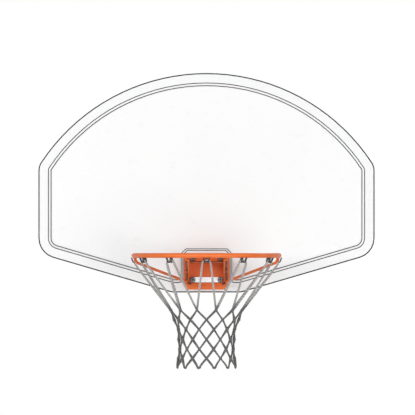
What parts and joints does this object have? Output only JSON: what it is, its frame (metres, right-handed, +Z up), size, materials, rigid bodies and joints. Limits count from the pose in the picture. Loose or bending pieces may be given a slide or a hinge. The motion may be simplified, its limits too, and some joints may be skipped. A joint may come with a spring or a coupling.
{
  "type": "basketball hoop",
  "caption": "Basketball hoop for a pole or wall: fan-shaped board in a raised border, fixed steel rim on a bolted and braced bracket, and a knotted cord net on wire hooks.",
  "frame": {"origin": "centre of the mount plate's rear face, 95 mm above the ring's plane", "axes": "+Z up, -Y from the board towards the court, +X to the right of someone who faces the board from the court"},
  "size_m": [1.117, 0.6748, 0.9751],
  "materials": {
    "white_panel": "smooth white sheet",
    "white_frame": "satin white moulding",
    "orange_rim": "orange powder coat",
    "zinc_plate": "bright zinc plate",
    "black_wire": "black-oxide spring wire",
    "galvanised_steel": "dull hot-dip galvanised",
    "white_cord": "twisted white cord"
  },
  "bodies": {
    "hoop": {"mount_plate": "galvanised_steel", "rear_channel_left": "galvanised_steel", "rear_channel_right": "galvanised_steel", "channel_screw_1": "zinc_plate", "channel_screw_2": "zinc_plate", "channel_screw_3": "zinc_plate", "channel_screw_4": "zinc_plate", "board_panel": "white_panel", "board_frame": "white_frame", "frame_screw_1": "zinc_plate", "frame_screw_2": "zinc_plate", "frame_screw_3": "zinc_plate", "frame_screw_4": "zinc_plate", "frame_screw_5": "zinc_plate", "frame_screw_6": "zinc_plate", "frame_screw_7": "zinc_plate", "frame_screw_8": "zinc_plate", "frame_screw_9": "zinc_plate", "rim_back_plate": "orange_rim", "gusset_left": "orange_rim", "gusset_right": "orange_rim", "cross_plate": "orange_rim", "lower_strap": "zinc_plate", "rim_bolt_1": "zinc_plate", "rim_bolt_2": "zinc_plate", "rim_bolt_3": "zinc_plate", "rim_bolt_4": "zinc_plate", "rim_washer_1": "zinc_plate", "rim_washer_2": "zinc_plate", "rim_washer_3": "zinc_plate", "rim_washer_4": "zinc_plate", "rim_nut_1": "zinc_plate", "rim_nut_2": "zinc_plate", "rim_nut_3": "zinc_plate", "rim_nut_4": "zinc_plate", "rim_ring": "orange_rim", "brace_rod": "orange_rim", "net_hook_01": "black_wire", "net_hook_02": "black_wire", "net_hook_03": "black_wire", "net_hook_04": "black_wire", "net_hook_05": "black_wire", "net_hook_06": "black_wire", "net_hook_07": "black_wire", "net_hook_08": "black_wire", "net_hook_09": "black_wire", "net_hook_10": "black_wire", "net_hook_11": "black_wire", "net_hook_12": "black_wire"},
    "net": {"net": "white_cord"}
  },
  "joints": [
    {"name": "net_swing", "type": "hinge", "parent": "hoop", "child": "net", "pos_m": [0, -0.4282, -0.11715], "axis": [1, 0, 0], "range_deg": [-15, 15], "deforming": ["net"]}
  ]
}
